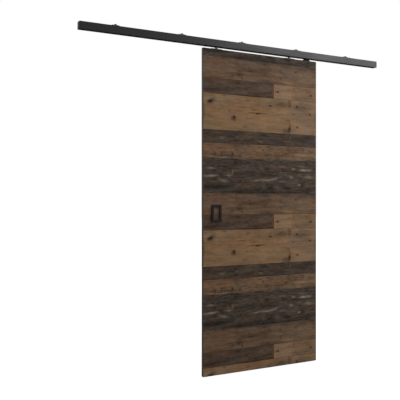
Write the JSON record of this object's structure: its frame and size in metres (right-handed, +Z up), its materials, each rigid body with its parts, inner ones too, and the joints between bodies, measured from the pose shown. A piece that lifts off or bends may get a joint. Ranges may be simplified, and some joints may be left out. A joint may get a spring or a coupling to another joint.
{
  "type": "sliding barn door with box track",
  "caption": "Sliding barn-style door leaf printed with worn horizontal planks, hung by roller trolleys from a black wall-mounted box track, with open rectangular pulls.",
  "frame": {"origin": "centre of the middle bracket's screw hole, on the wall plane", "axes": "+X along the track to the right seen from the front, +Y into the wall, +Z up"},
  "size_m": [2.215, 0.065, 2.1195],
  "materials": {
    "track_black": "satin black powder coat on aluminium",
    "bracket_black": "satin black powder coat on folded steel",
    "black_plastic": "fine-grained black moulding",
    "dark_steel": "blackened steel",
    "zinc_steel": "zinc-plated steel",
    "zinc_casting": "grey zinc die casting",
    "printed_board": "melamine-faced board printed with worn horizontal planks",
    "edge_band": "dark brown plastic edging",
    "pull_black": "satin black lacquer",
    "wheel_nylon": "dark grey nylon",
    "bearing_steel": "polished bearing steel",
    "buffer_rubber": "black rubber"
  },
  "bodies": {
    "track": {"track_rail": "track_black", "end_cap_left": "black_plastic", "end_cap_right": "black_plastic", "wall_bracket_1": "bracket_black", "wall_bracket_2": "bracket_black", "wall_bracket_3": "bracket_black", "wall_bracket_4": "bracket_black", "wall_bracket_5": "bracket_black", "bracket_screws": "dark_steel", "slide_nuts": "zinc_steel", "track_stop_left": "zinc_casting", "stop_buffer_left": "buffer_rubber", "stop_screw_left": "zinc_steel", "track_stop_right": "zinc_casting", "stop_buffer_right": "buffer_rubber", "stop_screw_right": "zinc_steel"},
    "door": {"door_leaf": "printed_board", "edge_band_left": "edge_band", "edge_band_right": "edge_band", "edge_band_top": "edge_band", "edge_band_bottom": "edge_band", "pull_front": "pull_black", "pull_rear": "pull_black", "pull_screws": "zinc_steel", "hanger_plate_left": "dark_steel", "hanger_bolt_left": "dark_steel", "lock_nut_left": "dark_steel", "trolley_body_left": "zinc_casting", "hanger_plate_right": "dark_steel", "hanger_bolt_right": "dark_steel", "lock_nut_right": "dark_steel", "trolley_body_right": "zinc_casting", "hanger_plate_screws": "zinc_steel", "anti_jump_block": "black_plastic", "anti_jump_screws": "zinc_steel", "axle_left_a": "zinc_steel", "axle_left_b": "zinc_steel", "axle_right_a": "zinc_steel", "axle_right_b": "zinc_steel"},
    "wheel_left_a_front": {"wheel_left_a_front": "wheel_nylon", "bearing_left_a_front": "bearing_steel"},
    "wheel_left_a_rear": {"wheel_left_a_rear": "wheel_nylon", "bearing_left_a_rear": "bearing_steel"},
    "wheel_left_b_front": {"wheel_left_b_front": "wheel_nylon", "bearing_left_b_front": "bearing_steel"},
    "wheel_left_b_rear": {"wheel_left_b_rear": "wheel_nylon", "bearing_left_b_rear": "bearing_steel"},
    "wheel_right_a_front": {"wheel_right_a_front": "wheel_nylon", "bearing_right_a_front": "bearing_steel"},
    "wheel_right_a_rear": {"wheel_right_a_rear": "wheel_nylon", "bearing_right_a_rear": "bearing_steel"},
    "wheel_right_b_front": {"wheel_right_b_front": "wheel_nylon", "bearing_right_b_front": "bearing_steel"},
    "wheel_right_b_rear": {"wheel_right_b_rear": "wheel_nylon", "bearing_right_b_rear": "bearing_steel"}
  },
  "joints": [
    {"name": "door_slide", "type": "slide", "parent": "track", "child": "door", "axis": [1, 0, 0], "range_m": [-0.776, 0.53]},
    {"name": "wheel_left_a_front_spin", "type": "hinge", "parent": "door", "child": "wheel_left_a_front", "pos_m": [-0.243, -0.057, -0.0439], "axis": [0, 1, 0], "continuous": true},
    {"name": "wheel_left_a_rear_spin", "type": "hinge", "parent": "door", "child": "wheel_left_a_rear", "pos_m": [-0.243, -0.035, -0.0439], "axis": [0, 1, 0], "continuous": true},
    {"name": "wheel_left_b_front_spin", "type": "hinge", "parent": "door", "child": "wheel_left_b_front", "pos_m": [-0.191, -0.057, -0.0439], "axis": [0, 1, 0], "continuous": true},
    {"name": "wheel_left_b_rear_spin", "type": "hinge", "parent": "door", "child": "wheel_left_b_rear", "pos_m": [-0.191, -0.035, -0.0439], "axis": [0, 1, 0], "continuous": true},
    {"name": "wheel_right_a_front_spin", "type": "hinge", "parent": "door", "child": "wheel_right_a_front", "pos_m": [0.318, -0.057, -0.0439], "axis": [0, 1, 0], "continuous": true},
    {"name": "wheel_right_a_rear_spin", "type": "hinge", "parent": "door", "child": "wheel_right_a_rear", "pos_m": [0.318, -0.035, -0.0439], "axis": [0, 1, 0], "continuous": true},
    {"name": "wheel_right_b_front_spin", "type": "hinge", "parent": "door", "child": "wheel_right_b_front", "pos_m": [0.37, -0.057, -0.0439], "axis": [0, 1, 0], "continuous": true},
    {"name": "wheel_right_b_rear_spin", "type": "hinge", "parent": "door", "child": "wheel_right_b_rear", "pos_m": [0.37, -0.035, -0.0439], "axis": [0, 1, 0], "continuous": true}
  ],
  "couplings": [
    {"joint": "wheel_left_a_front_spin", "follows": "door_slide", "rad_per_m": 86.957},
    {"joint": "wheel_left_a_rear_spin", "follows": "door_slide", "rad_per_m": 86.957},
    {"joint": "wheel_left_b_front_spin", "follows": "door_slide", "rad_per_m": 86.957},
    {"joint": "wheel_left_b_rear_spin", "follows": "door_slide", "rad_per_m": 86.957},
    {"joint": "wheel_right_a_front_spin", "follows": "door_slide", "rad_per_m": 86.957},
    {"joint": "wheel_right_a_rear_spin", "follows": "door_slide", "rad_per_m": 86.957},
    {"joint": "wheel_right_b_front_spin", "follows": "door_slide", "rad_per_m": 86.957},
    {"joint": "wheel_right_b_rear_spin", "follows": "door_slide", "rad_per_m": 86.957}
  ]
}
